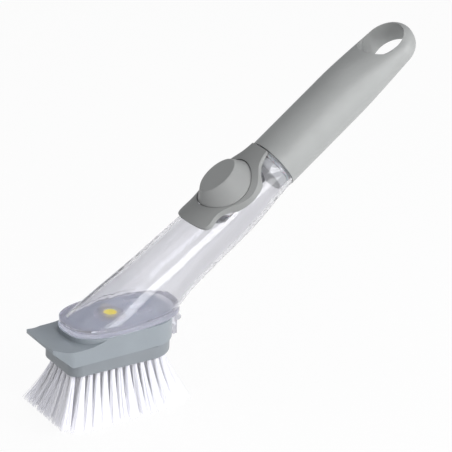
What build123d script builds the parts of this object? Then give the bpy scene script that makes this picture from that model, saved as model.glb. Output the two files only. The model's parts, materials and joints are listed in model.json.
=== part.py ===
from build123d import *
import os
from math import cos, pi, radians, sin, sqrt, tan

# Soap dispensing dish wand: a clear soap reservoir with a thumb pump, a grip that
# screws into its mouth, and a brush head that hooks on at the front and is held
# by a sprung latch at the back. Millimetres, +Z up, bristle tips on Z = 0, the
# handle rises towards +X, and the object is symmetric about Y = 0.

# Driving sizes of the whole
handle_angle = 36.0
axis_x = -65.9
axis_length = 116.5
seam_gap = 0.3
overrun = 5.0

# Brush head
bristle_length = 30.0
block_height = 8.0
block_front_x = -109.9
block_rear_x = -42.6
block_front_half_width = 17.0
block_rear_half_width = 20.3
block_front_corner = 7.0
block_rear_corner = 16.0
block_edge_round = 1.6
block_rim_height = 2.2
block_rim_wall = 1.6
slice_thickness = 1.4
slice_inset = 2.2
slice_gap = 0.3

shell_height = 12.7
shell_front_x = -110.4
shell_rear_x = -40.6
shell_front_half_width = 18.2
shell_rear_half_width = 19.6
shell_rear_corner = 17.0
shell_wall = 2.0
shell_shoulder_round = 9.0
scraper_reach = 10.9
scraper_half_width = 14.2
scraper_bow = 0.7
scraper_lip = 1.5
scraper_drop = 1.2
pad_margin = 0.5
fit_gap = 0.15

# Foot of the reservoir
foot_half_length = 35.2
foot_half_width = 19.2
foot_x = -70.1
foot_squareness = 2.6
foot_egg_share = 0.06
floor_thickness = 2.5
rib_length = 9.0
rib_height = 2.2
rib_thickness = 1.0
rib_pitch = 6.5
flange_thickness = 2.0
flange_lip = 1.4

# Reservoir tube
tube_radius = 15.3
tube_wall = 2.0
mouth_wall = 1.9
mouth_depth = 8.6

# Soap valve and its way down to the bristles
valve_x = -76.6
valve_radius = 4.4
valve_thickness = 1.2
valve_slit = 0.2
soap_bore = 2.6
nozzle_radius = 3.3
nozzle_length = 3.0
retainer_radius = 8.7
retainer_height = 2.4
retainer_lip = 0.7
retainer_land = 1.6
duct_radius = 5.0
duct_flange_radius = 8.0
duct_flange_thickness = 1.6
duct_seal_height = 2.5
duct_seal_gap = 0.4

# Hook bead that the head tilts on, and the latch
bead_radius = 1.0
bead_width = 12.0
bead_clearance = 0.3
bead_x = -102.1
bead_depth = 1.5
bead_neck = 1.0
head_tilt_range = 8.0
latch_half_width = 6.0
latch_side_gap = 0.6
latch_thickness = 1.6
latch_length = 15.0
latch_hinge_radius = 0.9
latch_gap = 2.6
latch_hook = 0.8
latch_ramp = 2.6
latch_knob_radius = 1.9
latch_knob_reach = 4.3
latch_knob_drop = 7.0

# Pump
pump_s = -30.1
bezel_start_s = -1.0
bezel_length = 58.8
bezel_half_width = 18.0
bezel_crown_radius = 29.0
bezel_crown_h = 16.2
bezel_plate = 1.8
bezel_wall = 2.4
bezel_skirt_h = 6.4
button_half_length = 17.2
button_half_width = 15.4
button_top_half_length = 12.2
button_top_half_width = 8.0
button_top_h = 22.75
button_skirt_h = 10.7
button_flare = 3.3
button_side_flare = 0.9
button_wall = 1.6
button_roof = 1.8
button_gap = 0.35
button_edge_round = 0.8
button_hook_half_width = 3.0
button_hook_reach = 1.2
pocket_half_length = 19.0
pocket_half_width = 18.0
deck_h = 7.9
air_port_radius = 2.4
bellows_wall = 0.8
bellows_folds = 4
bellows_base_radius = 10.4
bellows_top_radius = 5.4
bellows_fold_depth = 1.8
bellows_flange_radius = 13.0
bellows_flange = 1.0
clamp_wall = 1.8
clamp_height = 1.2

# Grip
grip_radius = 15.5
grip_wall = 2.4
grip_straight = 50.0
loop_s = 95.0
loop_radius = 16.2
loop_half_thickness = 9.0
loop_squareness = 2.7
loop_hole_radius = 12.7
loop_rim_round = 2.0
cavity_end = 10.0
spigot_ledge = 0.8
spigot_depth = 8.0
spigot_radius = 12.7
spigot_root_radius = 13.05
spigot_root_length = 14.0
spigot_wall = 2.8
spigot_cap = 1.8
lug_count = 4
lug_arc = 38.0
lug_height = 0.35
lug_length = 2.8
lug_s = -5.4
ring_radius = 0.9
ring_clearance = 0.05
ring_s = -1.7

# Bristles
tuft_columns = 14
tuft_rows = 6
tuft_least_pitch = 3.6
tuft_strands = 5
tuft_inset = 4.4
tuft_spread = 1.05
strand_radius = 0.52
strand_trim = 0.5
strand_ragged = 1.1
strand_end_rise = 3.0
tip_front_x = -118.2
tip_rear_x = -37.0
tip_half_width = 24.8
tip_corner = 9.0
golden_turn_share = 0.618

# Heights of the head, from the bristle tips up
block_bottom_z = bristle_length
block_top_z = block_bottom_z + block_height
pad_z = block_top_z + shell_height
floor_bottom_z = pad_z + seam_gap
floor_top_z = floor_bottom_z + floor_thickness
flange_top_z = floor_top_z + flange_thickness

# Handle axis: along is the way up the handle, out is the way that the button faces
rise = radians(handle_angle)
along = Vector(cos(rise), 0, sin(rise))
out = Vector(-sin(rise), 0, cos(rise))
ring = Vector(axis_x, 0, floor_top_z) + along * axis_length
side = Plane(origin=ring, x_dir=along, z_dir=(0, -1, 0))
handle_axis = Axis(ring, along)


def across(s):
    """Plane square to the handle at s, its x towards the button."""
    return Plane(origin=ring + along * s, x_dir=out, z_dir=along)


def facing(s, h):
    """Plane square to the button's travel, its x up the handle."""
    return Plane(origin=ring + along * s + out * h, x_dir=along, z_dir=out)


def oval(half_length, half_width, squareness=2.0, egg_share=0.0, steps=24):
    """Closed smooth outline: an ellipse made squarer, and wider towards +x."""
    points = []
    for step in range(steps):
        turn = 2 * pi * step / steps
        c = cos(turn)
        w = sin(turn)
        x = half_length * abs(c) ** (2 / squareness) * (1 if c > 0 else -1)
        y = half_width * abs(w) ** (2 / squareness) * (1 if w > 0 else -1)
        points.append((x, y * (1 + egg_share * c)))
    return Spline(*points, periodic=True)


def foot_outline(margin=0.0):
    """Foot outline in plan, for a plane whose x faces the front."""
    with BuildSketch(Plane.XY, mode=Mode.PRIVATE) as plan:
        with BuildLine():
            oval(foot_half_length + margin, foot_half_width + margin,
                 foot_squareness, foot_egg_share)
        make_face()
    return plan.sketch


def foot_plane(z):
    """Plane at height z whose x faces the front and whose extrusion goes down."""
    return Plane(origin=(foot_x, 0, z), x_dir=(-1, 0, 0), z_dir=(0, 0, -1))


# Reservoir tube: stations from the mouth to the foot. Front and back are a point
# on the tube's front and back line: how far down the axis, as a share of the axis
# length, and how far out, as a share of the tube radius. Then the half width as a
# share of the tube radius, and the squareness of the section.
station_shares = [
    ((0.120, 0.954), (0.120, -1.013), 1.020, 2.15),
    ((0.258, 0.915), (0.258, -1.033), 1.085, 2.45),
    ((0.472, 0.941), (0.472, -1.046), 1.085, 2.40),
    ((0.687, 1.085), (0.618, -1.065), 1.098, 2.30),
    ((0.901, 1.216), (0.687, -1.085), 1.124, 2.30),
    ((1.090, 1.338), (0.735, -1.115), 1.165, 2.40),
    ((1.215, 1.405), (0.764, -1.140), 1.180, 2.50),
]


def tube_sections(margin, mouth_radius):
    """Section planes with half sizes and squareness, grown or shrunk by margin."""
    sections = [(across(-seam_gap), mouth_radius, mouth_radius, 2.0, 0.0)]
    for front_share, back_share, width_share, squareness in station_shares:
        front = (ring - along * (front_share[0] * axis_length)
                 + out * (front_share[1] * tube_radius))
        back = (ring - along * (back_share[0] * axis_length)
                + out * (back_share[1] * tube_radius))
        way = (front - back).normalized()
        plane = Plane(origin=(front + back) * 0.5, x_dir=way,
                      z_dir=(-way.Z, 0, way.X))
        half_length = (front - back).length / 2 + margin
        half_width = width_share * tube_radius + margin
        sections.append((plane, half_length, half_width, squareness, 0.0))
    sections.append((foot_plane(floor_top_z), foot_half_length - flange_lip + margin,
                     foot_half_width - flange_lip + margin, foot_squareness, foot_egg_share))
    return sections


def tube_form(margin, mouth_radius):
    """The tube's solid form, grown or shrunk by margin."""
    with BuildPart() as form:
        for plane, half_length, half_width, squareness, egg_share in tube_sections(
                margin, mouth_radius):
            if plane.z_dir.dot(along) > 0:
                plane = Plane(origin=plane.origin, x_dir=plane.x_dir, z_dir=-plane.z_dir)
            with BuildSketch(plane):
                with BuildLine():
                    oval(half_length, half_width, squareness, egg_share)
                make_face()
        loft()
    return form.part


mouth_radius = tube_radius - mouth_wall

# Soap space: what the reservoir is hollow by, set back under the pump's deck
with BuildPart() as soap_space:
    add(tube_form(-tube_wall, mouth_radius - ring_clearance))
    with BuildSketch(facing(pump_s, deck_h - tube_wall)):
        Ellipse(pocket_half_length + tube_wall, pocket_half_width + tube_wall)
    extrude(amount=tube_radius + tube_wall, mode=Mode.SUBTRACT)

# Reservoir: clear, open at the mouth and at the foot, with a sunk deck under the pump
with BuildPart() as reservoir:
    add(tube_form(0, tube_radius))
    with BuildSketch(foot_plane(flange_top_z)):
        add(foot_outline())
    extrude(amount=flange_thickness)
    with BuildSketch(facing(pump_s, deck_h)):
        Ellipse(pocket_half_length, pocket_half_width)
    extrude(amount=tube_radius, mode=Mode.SUBTRACT)
    add(soap_space.part, mode=Mode.SUBTRACT)
    with BuildSketch(across(-mouth_depth)):
        Circle(mouth_radius)
    extrude(amount=mouth_depth + overrun, mode=Mode.SUBTRACT)
    with BuildSketch(facing(pump_s, deck_h - tube_wall - overrun)):
        Circle(air_port_radius)
    extrude(amount=tube_wall + 2 * overrun, mode=Mode.SUBTRACT)

# Floor: closes the foot and carries the soap nozzle, the hook bead and the latch seat
bead_z = pad_z - bead_depth
latch_x = shell_rear_x + latch_gap + latch_hinge_radius
latch_z = floor_bottom_z - seam_gap - latch_hinge_radius
front_relief = (bead_x - (foot_x - foot_half_length)) + pad_margin
with BuildPart() as reservoir_floor:
    with BuildSketch(foot_plane(floor_top_z)):
        add(foot_outline())
    extrude(amount=floor_thickness)
    with BuildSketch(Plane.XZ.offset(-foot_half_width)):
        with BuildLine():
            Polyline((bead_x - bead_radius, floor_bottom_z),
                     (bead_x - bead_radius - front_relief, floor_bottom_z - overrun),
                     (bead_x - bead_radius - front_relief,
                      floor_bottom_z + front_relief * tan(radians(head_tilt_range))),
                     close=True)
        make_face()
    extrude(amount=2 * foot_half_width, mode=Mode.SUBTRACT)
    with BuildSketch(Plane.XZ.offset(-bead_width / 2)):
        with Locations((bead_x, bead_z)):
            Circle(bead_radius)
        with Locations((bead_x, bead_z)):
            Rectangle(bead_neck, floor_bottom_z - bead_z + seam_gap, align=(Align.CENTER, Align.MIN))
    extrude(amount=bead_width)
    with BuildSketch(Plane.XY.offset(floor_bottom_z)):
        with Locations((valve_x, 0)):
            Circle(nozzle_radius)
    extrude(amount=-nozzle_length)
    with BuildSketch(Plane.XY.offset(floor_top_z)):
        with GridLocations(0, rib_pitch, 1, 3):
            with Locations((valve_x + retainer_radius + rib_length, 0)):
                Rectangle(rib_length, rib_thickness)
    extrude(amount=rib_height)
    with Locations(Plane.XY.offset(floor_bottom_z - nozzle_length)):
        with Locations((valve_x, 0)):
            Hole(soap_bore)

# Slit valve: yellow silicone disc with crossed slits
with BuildPart() as slit_valve:
    with BuildSketch(Plane.XY.offset(floor_top_z)):
        with Locations((valve_x, 0)):
            Circle(valve_radius)
    extrude(amount=valve_thickness)
    fillet(slit_valve.edges().group_by(Axis.Z)[-1], valve_thickness / 2)
    with BuildSketch(Plane.XY.offset(floor_top_z)):
        with Locations((valve_x, 0)):
            Rectangle(valve_radius, valve_slit)
            Rectangle(valve_slit, valve_radius)
    extrude(amount=valve_thickness, mode=Mode.SUBTRACT)

# Valve retainer: clear ring whose lip holds the valve's rim down
with BuildPart() as valve_retainer:
    with BuildSketch(Plane.XZ):
        with BuildLine():
            Polyline((valve_radius + fit_gap, 0),
                     (retainer_radius, 0),
                     (retainer_radius, retainer_lip),
                     (retainer_radius - retainer_land, retainer_height),
                     (retainer_radius - 2 * retainer_land, retainer_height),
                     (valve_radius + fit_gap, valve_thickness + retainer_lip),
                     (valve_radius - retainer_lip, valve_thickness + retainer_lip),
                     (valve_radius - retainer_lip, valve_thickness),
                     (valve_radius + fit_gap, valve_thickness),
                     close=True)
        make_face()
    revolve(axis=Axis.Z)
valve_retainer.part.position = (valve_x, 0, floor_top_z)

# Pump bezel: crowned saddle plate around the button
bezel_outline_shares = [(0.0, 0.378), (0.14, 0.50), (0.27, 0.83), (0.46, 1.0), (0.80, 0.70)]


def bezel_outline(inset):
    """Bezel plan: a neck at the seam, a belly at the button and a broad round end."""
    neck_x = bezel_start_s - pump_s
    points = []
    for along_share, width_share in bezel_outline_shares:
        points.append((neck_x - inset - along_share * (bezel_length - 2 * inset),
                       width_share * bezel_half_width - inset))
    tip = (neck_x - bezel_length + inset, 0)
    with BuildSketch(Plane.XY, mode=Mode.PRIVATE) as plan:
        with BuildLine():
            edge = Spline(*points, tip, tangents=((-1, 0.15), (0, -1)))
            mirror(edge, about=Plane.XZ)
            Line(points[0], (points[0][0], -points[0][1]))
        make_face()
    return plan.sketch


crown_plane = across(bezel_start_s - bezel_length - overrun)
with BuildPart() as bezel_hollow:
    with BuildSketch(facing(pump_s, bezel_skirt_h - overrun)):
        add(bezel_outline(bezel_wall))
    extrude(amount=bezel_crown_h + overrun)
    with BuildSketch(crown_plane):
        with Locations((bezel_crown_h - bezel_crown_radius, 0)):
            Circle(bezel_crown_radius - bezel_plate)
    extrude(amount=bezel_length + 2 * overrun, mode=Mode.INTERSECT)

with BuildPart() as pump_bezel:
    with BuildSketch(facing(pump_s, bezel_skirt_h)):
        add(bezel_outline(0))
    extrude(amount=bezel_crown_h)
    with BuildSketch(crown_plane):
        with Locations((bezel_crown_h - bezel_crown_radius, 0)):
            Circle(bezel_crown_radius)
    extrude(amount=bezel_length + 2 * overrun, mode=Mode.INTERSECT)
    add(bezel_hollow.part, mode=Mode.SUBTRACT)
    add(tube_form(fit_gap, tube_radius + fit_gap), mode=Mode.SUBTRACT)
    with BuildSketch(facing(pump_s, bezel_skirt_h - overrun)):
        Ellipse(button_half_length + button_gap, button_half_width + button_gap)
    extrude(amount=bezel_crown_h + 2 * overrun, mode=Mode.SUBTRACT)

# Pump button: flat oval top on a cone, over a straight skirt
button_cone_height = button_top_h - button_skirt_h
with BuildPart() as button_hollow:
    with BuildSketch(facing(pump_s, button_skirt_h)):
        Ellipse(button_half_length + button_flare - button_wall,
                button_half_width + button_side_flare - button_wall)
    with BuildSketch(facing(pump_s, button_top_h)):
        Ellipse(button_top_half_length - button_wall, button_top_half_width - button_wall)
    loft(ruled=True)
    with BuildSketch(facing(pump_s, button_skirt_h)):
        Ellipse(button_half_length - button_wall, button_half_width - button_wall)
    extrude(amount=button_cone_height - button_roof, mode=Mode.INTERSECT)

with BuildPart() as pump_button:
    with BuildSketch(facing(pump_s, button_skirt_h)):
        Ellipse(button_half_length + button_flare, button_half_width + button_side_flare)
    with BuildSketch(facing(pump_s, button_top_h)):
        Ellipse(button_top_half_length, button_top_half_width)
    loft(ruled=True)
    fillet(pump_button.faces().sort_by(Axis(ring, out))[-1].edges(), button_edge_round)
    with BuildSketch(facing(pump_s, button_skirt_h)):
        Ellipse(button_half_length, button_half_width)
    extrude(amount=button_cone_height, mode=Mode.INTERSECT)
    add(button_hollow.part, mode=Mode.SUBTRACT)
    hook_height = bezel_crown_h - bezel_plate - seam_gap - button_skirt_h
    hook_x = button_half_length - button_wall / 2
    with BuildSketch(facing(pump_s, button_skirt_h)):
        for way in (1, -1):
            with Locations((way * (hook_x + button_hook_reach / 2), 0)):
                Rectangle(button_hook_reach + button_wall, 2 * button_hook_half_width)
    extrude(amount=hook_height)

# Pump bellows: the rubber spring under the button, folds in a tapering row
bellows_top_h = button_top_h - button_roof - seam_gap
fold_start_h = deck_h + bellows_flange
fold_pitch = (bellows_top_h - bellows_wall - fold_start_h) / bellows_folds


def bellows_profile():
    """Half section of the bellows: radius against height over the deck."""
    outer = [(bellows_flange_radius, 0), (bellows_flange_radius, bellows_flange)]
    inner = [(bellows_base_radius - bellows_fold_depth - bellows_wall, 0)]
    for fold in range(bellows_folds):
        taper = (bellows_base_radius - bellows_top_radius) * fold / bellows_folds
        base = bellows_flange + fold * fold_pitch
        valley = bellows_base_radius - taper - bellows_fold_depth
        crest = bellows_base_radius - taper
        outer += [(valley, base), (crest, base + fold_pitch / 2)]
        inner += [(valley - bellows_wall, base),
                  (crest - bellows_wall, base + fold_pitch / 2)]
    top = bellows_top_h - deck_h
    last = bellows_top_radius - bellows_fold_depth / 2
    outer += [(last, top - bellows_wall), (last, top), (0, top)]
    inner += [(last - bellows_wall, top - bellows_wall), (0, top - bellows_wall)]
    return outer + inner[::-1]


pump_side = Plane(origin=ring + along * pump_s + out * deck_h, x_dir=along, z_dir=(0, -1, 0))
with BuildPart() as pump_bellows:
    with BuildSketch(pump_side):
        with BuildLine():
            Polyline(*bellows_profile(), close=True)
        make_face()
    revolve(axis=Axis(ring + along * pump_s, out))

# Bellows clamp: ring that holds the bellows flange to the deck
with BuildPart() as bellows_clamp:
    with BuildSketch(facing(pump_s, deck_h + bellows_flange)):
        Circle(bellows_flange_radius)
        Circle(bellows_flange_radius - clamp_wall, mode=Mode.SUBTRACT)
    extrude(amount=clamp_height)
    fillet(bellows_clamp.edges().group_by(Axis(ring, out))[-1], clamp_height / 4)


# Grip: round at the seam, flattening into a loop to hang it by. Stations between
# the straight and the loop: how far along, and how far changed, as shares.
grip_station_shares = [(0.0, 0.0), (0.20, 0.02), (0.60, 0.45), (1.0, 1.0)]
taper_length = loop_s - grip_straight
hollow_radius = grip_radius - grip_wall
hollow_half = loop_half_thickness - grip_wall
cavity_stop = loop_s - loop_hole_radius - cavity_end / 2
loop_side = Plane(origin=ring + along * loop_s, x_dir=along, z_dir=(0, -1, 0))
with BuildPart() as grip_hollow:
    with BuildSketch(across(-overrun)):
        Circle(hollow_radius)
    extrude(amount=spigot_root_length + overrun)
    with BuildSketch(across(spigot_root_length)):
        Circle(hollow_radius - spigot_ledge)
    extrude(amount=grip_straight - spigot_root_length)
    with BuildSketch(across(grip_straight)):
        Circle(hollow_radius - spigot_ledge)
    with BuildSketch(across(cavity_stop)):
        Ellipse(hollow_half, hollow_radius - spigot_ledge)
    loft()


def grip_section(change_share, whole=True):
    """Section of the grip, from round to the loop's flat oval, or its upper half."""
    thick = grip_radius + (loop_half_thickness - grip_radius) * change_share
    wide = grip_radius + (loop_radius - grip_radius) * change_share
    squareness = 2 + (loop_squareness - 2) * change_share
    with BuildSketch(Plane.XY, mode=Mode.PRIVATE) as plan:
        with BuildLine():
            oval(thick, wide, squareness)
        make_face()
        if not whole:
            Rectangle(2 * thick, wide, align=(Align.CENTER, Align.MIN), mode=Mode.INTERSECT)
    return plan.sketch


with BuildPart() as grip_shell:
    with BuildSketch(across(0)):
        add(grip_section(0))
    extrude(amount=grip_straight)
    for along_share, change_share in grip_station_shares:
        with BuildSketch(across(grip_straight + along_share * taper_length)):
            add(grip_section(change_share))
    loft()
    with BuildSketch(across(loop_s)):
        add(grip_section(1, whole=False))
    revolve(axis=Axis(ring + along * loop_s, out), revolution_arc=180)
    with BuildSketch(loop_side):
        with BuildLine():
            hole_h = loop_half_thickness - loop_rim_round
            flare = loop_hole_radius + loop_rim_round
            Polyline((loop_hole_radius, hole_h), (loop_hole_radius, -hole_h))
            RadiusArc((loop_hole_radius, -hole_h), (flare, -loop_half_thickness), loop_rim_round)
            Polyline((flare, -loop_half_thickness), (flare, -grip_radius), (0, -grip_radius),
                     (0, grip_radius), (flare, grip_radius), (flare, loop_half_thickness))
            RadiusArc((flare, loop_half_thickness), (loop_hole_radius, hole_h), loop_rim_round)
        make_face()
    revolve(axis=Axis(loop_side.origin, out), mode=Mode.SUBTRACT)
    add(grip_hollow.part, mode=Mode.SUBTRACT)

# Grip spigot: plug that screws into the reservoir's mouth
with BuildPart() as grip_spigot:
    with BuildSketch(across(-spigot_depth)):
        Circle(spigot_radius)
    extrude(amount=spigot_depth)
    with BuildSketch(across(0)):
        Circle(spigot_root_radius)
    extrude(amount=spigot_root_length)
    with BuildSketch(across(-spigot_depth + spigot_cap)):
        Circle(spigot_radius - spigot_wall)
    extrude(amount=spigot_depth + spigot_root_length, mode=Mode.SUBTRACT)
    groove_floor = mouth_radius - 2 * ring_radius - 2 * ring_clearance
    with BuildSketch(across(ring_s - ring_radius - ring_clearance)):
        Circle(spigot_radius + overrun)
        Circle(groove_floor, mode=Mode.SUBTRACT)
    extrude(amount=2 * (ring_radius + ring_clearance), mode=Mode.SUBTRACT)
    lug_face = across(lug_s - lug_length / 2)
    for lug in range(lug_count):
        with BuildSketch(lug_face):
            middle = lug * 360 / lug_count + 360 / lug_count / 2
            with BuildLine():
                CenterArc((0, 0), spigot_radius + lug_height, middle - lug_arc / 2, lug_arc)
                CenterArc((0, 0), spigot_radius - spigot_wall / 2, middle - lug_arc / 2, lug_arc)
                for end in (-1, 1):
                    turn = radians(middle + end * lug_arc / 2)
                    near = spigot_radius - spigot_wall / 2
                    far = spigot_radius + lug_height
                    Line((near * cos(turn), near * sin(turn)), (far * cos(turn), far * sin(turn)))
            make_face()
        extrude(amount=lug_length)
    chamfer(grip_spigot.edges().group_by(handle_axis)[0], spigot_cap / 4)

# Sealing ring in the spigot's groove
with BuildPart() as spigot_seal:
    ring_middle = mouth_radius - ring_clearance - ring_radius
    with BuildSketch(side):
        with Locations((ring_s, ring_middle)):
            Circle(ring_radius)
    revolve(axis=handle_axis)


def head_outline(front_x, rear_x, front_half, rear_half, inset):
    """Straight-sided plan between the head's front and rear."""
    return [(front_x + inset, front_half - inset), (rear_x - inset, rear_half - inset),
            (rear_x - inset, inset - rear_half), (front_x + inset, inset - front_half)]


def block_face(inset):
    """Plan of the brush block, drawn in by inset."""
    with BuildSketch(Plane.XY, mode=Mode.PRIVATE) as plan:
        with BuildLine():
            Polyline(*head_outline(block_front_x, block_rear_x, block_front_half_width,
                                   block_rear_half_width, inset), close=True)
        make_face()
        fillet(plan.vertices().sort_by(Axis.X)[:2], block_front_corner - inset)
        fillet(plan.vertices().sort_by(Axis.X)[-2:], block_rear_corner - inset)
    return plan.sketch


def shell_face(inset):
    """Plan of the head shell with its scraper, drawn in by inset."""
    tip_x = shell_front_x - scraper_reach + inset
    sides = [(tip_x + scraper_bow, scraper_half_width - inset),
             (shell_front_x, shell_front_half_width - inset),
             (shell_rear_x - inset, shell_rear_half_width - inset)]
    mirrored = [(x, -y) for x, y in sides]
    with BuildSketch(Plane.XY, mode=Mode.PRIVATE) as plan:
        with BuildLine():
            Polyline(*sides, *mirrored[::-1])
            ThreePointArc(mirrored[0], (tip_x, 0), sides[0])
        make_face()
        fillet(plan.vertices().sort_by(Axis.X)[2:4], shell_shoulder_round)
        fillet(plan.vertices().sort_by(Axis.X)[-2:], shell_rear_corner - inset)
    return plan.sketch


# Crowned top of the head in front of the pad: place as a share of the head's
# length back from the scraper's tip, then the drop under the pad at the middle
# and at the sides as shares of the shell height.
scoop_shares = [
    (-0.02, 0.085, 0.115), (0.05, 0.165, 0.170), (0.11, 0.205, 0.305), (0.185, 0.205, 0.330),
    (0.28, 0.160, 0.325), (0.335, 0.110, 0.235), (0.46, 0.010, 0.095), (0.60, -0.02, 0.01),
    (1.02, -0.03, -0.02),
]
shell_length = shell_rear_x - shell_front_x + scraper_reach


def scoop_tool():
    """Everything above the head's crowned top."""
    reach = shell_rear_half_width + overrun
    with BuildPart() as tool:
        for place_share, middle_share, side_share in scoop_shares:
            x = shell_front_x - scraper_reach + place_share * shell_length
            middle = pad_z - middle_share * shell_height
            edge = pad_z - side_share * shell_height
            with BuildSketch(Plane(origin=(x, 0, 0), x_dir=(0, 1, 0), z_dir=(1, 0, 0))):
                with BuildLine():
                    ThreePointArc((-reach, edge), (0, middle), (reach, edge))
                    Polyline((reach, edge), (reach, pad_z + shell_height),
                             (-reach, pad_z + shell_height), (-reach, edge))
                make_face()
        loft()
        with BuildSketch(foot_plane(pad_z + shell_height)):
            add(foot_outline(pad_margin))
        extrude(amount=2 * shell_height, mode=Mode.SUBTRACT)
    return tool.part


scraper_tip_x = shell_front_x - scraper_reach
scraper_low_z = pad_z - scraper_drop - scraper_lip
latch_notch_z = block_top_z + latch_ramp
ceiling_z = pad_z - shell_wall
low_ceiling_z = bead_z - bead_radius - bead_clearance - shell_wall
with BuildPart() as shell_hollow:
    with BuildSketch(Plane.XY.offset(block_top_z)):
        add(shell_face(shell_wall))
    extrude(amount=shell_height)
    with BuildSketch(Plane.XZ.offset(-2 * foot_half_width)):
        with BuildLine():
            Polyline((shell_front_x + shell_wall, block_top_z),
                     (shell_front_x - shell_wall, low_ceiling_z - shell_wall),
                     (shell_front_x, low_ceiling_z),
                     (bead_x + 4 * shell_wall, low_ceiling_z),
                     (bead_x + 8 * shell_wall, ceiling_z),
                     (shell_rear_x, ceiling_z),
                     (shell_rear_x, block_top_z), close=True)
        make_face()
    extrude(amount=4 * foot_half_width, mode=Mode.INTERSECT)

with BuildPart() as head_shell:
    with BuildSketch(Plane.XY.offset(block_top_z)):
        add(shell_face(0))
    extrude(amount=shell_height)
    add(scoop_tool(), mode=Mode.SUBTRACT)
    with BuildSketch(Plane.XZ.offset(-2 * foot_half_width)):
        with BuildLine():
            Polyline((shell_front_x, block_top_z), (scraper_tip_x, scraper_low_z),
                     (scraper_tip_x - overrun, scraper_low_z),
                     (scraper_tip_x - overrun, block_top_z - overrun),
                     (shell_front_x, block_top_z - overrun), close=True)
        make_face()
    extrude(amount=4 * foot_half_width, mode=Mode.SUBTRACT)
    add(shell_hollow.part, mode=Mode.SUBTRACT)
    with BuildSketch(Plane.XZ.offset(-bead_width / 2 - bead_clearance)):
        with Locations((bead_x, bead_z)):
            Circle(bead_radius + bead_clearance)
            Rectangle(2 * bead_radius - bead_clearance / 2, bead_depth + overrun,
                      align=(Align.CENTER, Align.MIN))
    extrude(amount=bead_width + 2 * bead_clearance, mode=Mode.SUBTRACT)
    with BuildSketch(Plane.XY.offset(pad_z - shell_wall)):
        with Locations((valve_x, 0)):
            Circle(nozzle_radius + duct_seal_gap)
    extrude(amount=2 * shell_wall, mode=Mode.SUBTRACT)
    with BuildSketch(Plane.XZ.offset(-latch_half_width - latch_side_gap)):
        with BuildLine():
            Polyline((shell_rear_x, latch_notch_z), (shell_rear_x + overrun, latch_notch_z),
                     (shell_rear_x + overrun, block_top_z), (shell_rear_x - latch_hook, block_top_z),
                     close=True)
        make_face()
    extrude(amount=2 * (latch_half_width + latch_side_gap), mode=Mode.SUBTRACT)

# Rear latch: clear tab that springs back, with a hook under the shell's rim
tab_x = shell_rear_x + latch_gap
hook_z = block_top_z - seam_gap
with BuildPart() as rear_latch:
    with BuildSketch(Plane.XZ.offset(-latch_half_width)):
        with Locations((latch_x, latch_z)):
            Circle(latch_hinge_radius)
        with Locations((tab_x, latch_z)):
            Rectangle(latch_thickness, latch_length, align=(Align.MIN, Align.MAX))
        with BuildLine():
            Polyline((tab_x, hook_z + latch_ramp), (tab_x - latch_gap - latch_hook, hook_z - seam_gap),
                     (tab_x - latch_gap - latch_hook, hook_z - 2 * latch_hook),
                     (tab_x, hook_z - 4 * latch_hook), close=True)
        make_face()
    extrude(amount=2 * latch_half_width)
    with BuildSketch(Plane.XZ.offset(-latch_half_width / 2)):
        with Locations((tab_x + latch_knob_reach, latch_z - latch_knob_drop)):
            Circle(latch_knob_radius)
        with Locations((tab_x, latch_z - latch_knob_drop)):
            Rectangle(latch_knob_reach, latch_knob_radius, align=(Align.MIN, Align.CENTER))
    extrude(amount=latch_half_width)

# Brush block: holds the tufts, with a register rim inside the shell
rim_inset = 2 * shell_wall
with BuildPart() as brush_block:
    with BuildSketch(Plane.XY.offset(block_bottom_z)):
        add(block_face(0))
    extrude(amount=block_height)
    fillet(brush_block.edges().group_by(Axis.Z)[0], block_edge_round)
    with BuildSketch(Plane.XY.offset(block_top_z)):
        add(block_face(rim_inset))
        add(block_face(rim_inset + block_rim_wall), mode=Mode.SUBTRACT)
    extrude(amount=block_rim_height)
    with BuildSketch(Plane.XY.offset(block_bottom_z)):
        add(block_face(slice_inset))
    extrude(amount=slice_thickness, mode=Mode.SUBTRACT)
    with Locations(Plane.XY.offset(block_top_z)):
        with Locations((valve_x, 0)):
            Hole(soap_bore)

# Soap duct: leads the soap from the nozzle through the hollow head to the block
duct_top_z = pad_z - shell_wall - duct_seal_height
with BuildPart() as soap_duct:
    with BuildSketch(Plane.XY.offset(block_top_z)):
        with Locations((valve_x, 0)):
            Circle(duct_flange_radius)
    extrude(amount=duct_flange_thickness)
    with BuildSketch(Plane.XY.offset(block_top_z)):
        with Locations((valve_x, 0)):
            Circle(duct_radius)
    extrude(amount=duct_top_z - block_top_z)
    with Locations(Plane.XY.offset(duct_top_z)):
        with Locations((valve_x, 0)):
            Hole(soap_bore)

# Duct seal: rubber ring that the nozzle drops into
with BuildPart() as duct_seal:
    with BuildSketch(Plane.XY.offset(duct_top_z)):
        with Locations((valve_x, 0)):
            Circle(duct_radius + duct_seal_gap)
            Circle(nozzle_radius + duct_seal_gap, mode=Mode.SUBTRACT)
    extrude(amount=duct_seal_height)

# Bristles: tufts in a grid that follows the block, splayed towards the tips.
# Roots map to tips by one stretch about a middle, so no two strands cross.
root_front_x = block_front_x + tuft_inset
root_rear_x = block_rear_x - tuft_inset
root_length = root_rear_x - root_front_x
tip_stretch = (tip_rear_x - tip_front_x) / (root_length + 2 * tuft_spread)
still_x = (tip_front_x - tip_stretch * (root_front_x - tuft_spread)) / (1 - tip_stretch)
tip_middle_x = (tip_front_x + tip_rear_x) / 2
tip_half_length = (tip_rear_x - tip_front_x) / 2


def corner_loss(distance, corner):
    """How much a rounded corner narrows the tuft field at a distance from its end."""
    short = min(max(corner - distance, 0), corner)
    return corner - sqrt(corner ** 2 - short ** 2)


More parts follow.
